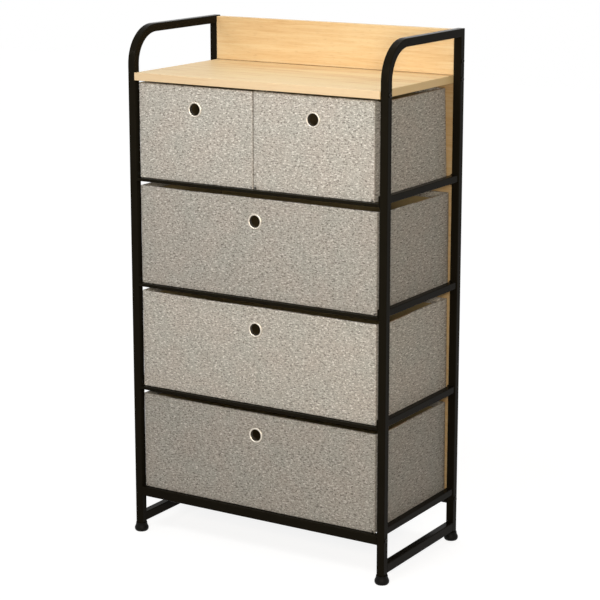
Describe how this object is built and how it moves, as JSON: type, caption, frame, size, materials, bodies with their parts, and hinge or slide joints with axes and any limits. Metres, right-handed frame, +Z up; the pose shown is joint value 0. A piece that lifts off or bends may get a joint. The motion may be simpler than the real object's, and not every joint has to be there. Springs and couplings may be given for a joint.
{
  "type": "fabric drawer dresser",
  "caption": "Tall narrow dresser of square steel tube with bent-over handle bars, wooden top with upright backboard, and open-topped fabric drawers with eyelet pulls.",
  "frame": {"origin": "on the floor, midway between the four feet", "axes": "+Z up, -Y towards the drawer fronts, +X to the right of someone facing the fronts"},
  "size_m": [0.5924, 0.3124, 1.03],
  "materials": {
    "frame_steel": "satin black powder coat",
    "oak_board": "light oak laminate with fine lengthwise grain",
    "oak_panel": "light oak laminate on thin hardboard",
    "drawer_fabric": "heathered greige woven polyester",
    "drawer_lining": "olive brown non-woven lining",
    "stiffener_board": "raw hardboard",
    "eyelet_metal": "polished nickel",
    "foot_plastic": "black moulded plastic",
    "bolt_steel": "black oxide",
    "screw_steel": "zinc plated",
    "end_nut_steel": "zinc plated"
  },
  "bodies": {
    "frame": {"back_panel": "oak_panel", "back_panel_screws": "screw_steel", "backboard": "oak_board", "crossbar_end_nuts": "end_nut_steel", "flat_crossbar_end_plates": "frame_steel", "flat_crossbar_screws": "bolt_steel", "frame_bolts": "bolt_steel", "front_bottom_crossbar": "frame_steel", "front_lower_crossbar": "frame_steel", "front_middle_crossbar": "frame_steel", "front_upper_crossbar": "frame_steel", "left_bottom_side_rail": "frame_steel", "left_front_foot": "foot_plastic", "left_front_post_and_handle": "frame_steel", "left_lower_side_rail": "frame_steel", "left_lower_stretcher": "frame_steel", "left_middle_side_rail": "frame_steel", "left_rear_foot": "foot_plastic", "left_rear_post": "frame_steel", "left_upper_side_rail": "frame_steel", "rear_bottom_crossbar": "frame_steel", "rear_lower_crossbar": "frame_steel", "rear_middle_crossbar": "frame_steel", "rear_upper_crossbar": "frame_steel", "right_bottom_side_rail": "frame_steel", "right_front_foot": "foot_plastic", "right_front_post_and_handle": "frame_steel", "right_lower_side_rail": "frame_steel", "right_lower_stretcher": "frame_steel", "right_middle_side_rail": "frame_steel", "right_rear_foot": "foot_plastic", "right_rear_post": "frame_steel", "right_upper_side_rail": "frame_steel", "top_board": "oak_board"},
    "upper_left_drawer": {"upper_left_drawer_box_boards": "stiffener_board", "upper_left_drawer_eyelet": "eyelet_metal", "upper_left_drawer_fabric_cover": "drawer_fabric", "upper_left_drawer_front_board": "stiffener_board", "upper_left_drawer_lining": "drawer_lining"},
    "upper_right_drawer": {"upper_right_drawer_box_boards": "stiffener_board", "upper_right_drawer_eyelet": "eyelet_metal", "upper_right_drawer_fabric_cover": "drawer_fabric", "upper_right_drawer_front_board": "stiffener_board", "upper_right_drawer_lining": "drawer_lining"},
    "middle_drawer": {"middle_drawer_box_boards": "stiffener_board", "middle_drawer_eyelet": "eyelet_metal", "middle_drawer_fabric_cover": "drawer_fabric", "middle_drawer_front_board": "stiffener_board", "middle_drawer_lining": "drawer_lining"},
    "lower_drawer": {"lower_drawer_box_boards": "stiffener_board", "lower_drawer_eyelet": "eyelet_metal", "lower_drawer_fabric_cover": "drawer_fabric", "lower_drawer_front_board": "stiffener_board", "lower_drawer_lining": "drawer_lining"},
    "bottom_drawer": {"bottom_drawer_box_boards": "stiffener_board", "bottom_drawer_eyelet": "eyelet_metal", "bottom_drawer_fabric_cover": "drawer_fabric", "bottom_drawer_front_board": "stiffener_board", "bottom_drawer_lining": "drawer_lining"}
  },
  "joints": [
    {"name": "upper_left_drawer_slide", "type": "slide", "parent": "frame", "child": "upper_left_drawer", "axis": [0, -1, 0], "range_m": [0, 0.22]},
    {"name": "upper_right_drawer_slide", "type": "slide", "parent": "frame", "child": "upper_right_drawer", "axis": [0, -1, 0], "range_m": [0, 0.22]},
    {"name": "middle_drawer_slide", "type": "slide", "parent": "frame", "child": "middle_drawer", "axis": [0, -1, 0], "range_m": [0, 0.22]},
    {"name": "lower_drawer_slide", "type": "slide", "parent": "frame", "child": "lower_drawer", "axis": [0, -1, 0], "range_m": [0, 0.22]},
    {"name": "bottom_drawer_slide", "type": "slide", "parent": "frame", "child": "bottom_drawer", "axis": [0, -1, 0], "range_m": [0, 0.22]}
  ]
}
